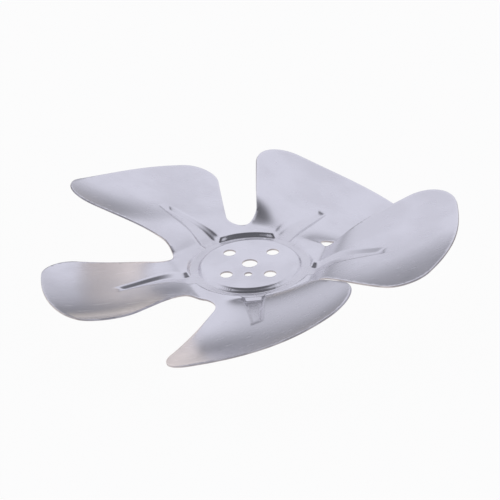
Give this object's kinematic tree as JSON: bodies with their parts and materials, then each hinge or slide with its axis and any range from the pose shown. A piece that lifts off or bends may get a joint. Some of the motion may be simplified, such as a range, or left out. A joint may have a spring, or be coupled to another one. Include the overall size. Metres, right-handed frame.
{
  "type": "axial fan impeller",
  "caption": "Axial fan impeller pressed from one aluminium sheet, with cambered blades, tapering stiffening ribs and a flat ringed hub drilled for a shaft boss and screws.",
  "frame": {"origin": "centre of the hub's bore, on the upper face of the flat hub disc", "axes": "+Z along the shaft axis, away from the motor; the blades' raised edges point to +Z; a viewer looking along +Y sees the locating hole on the near side of the bore"},
  "size_m": [0.172, 0.1688, 0.038],
  "materials": {
    "sheet": "bright pressed sheet, soft satin sheen"
  },
  "bodies": {
    "root": {"impeller": "sheet"}
  },
  "joints": []
}
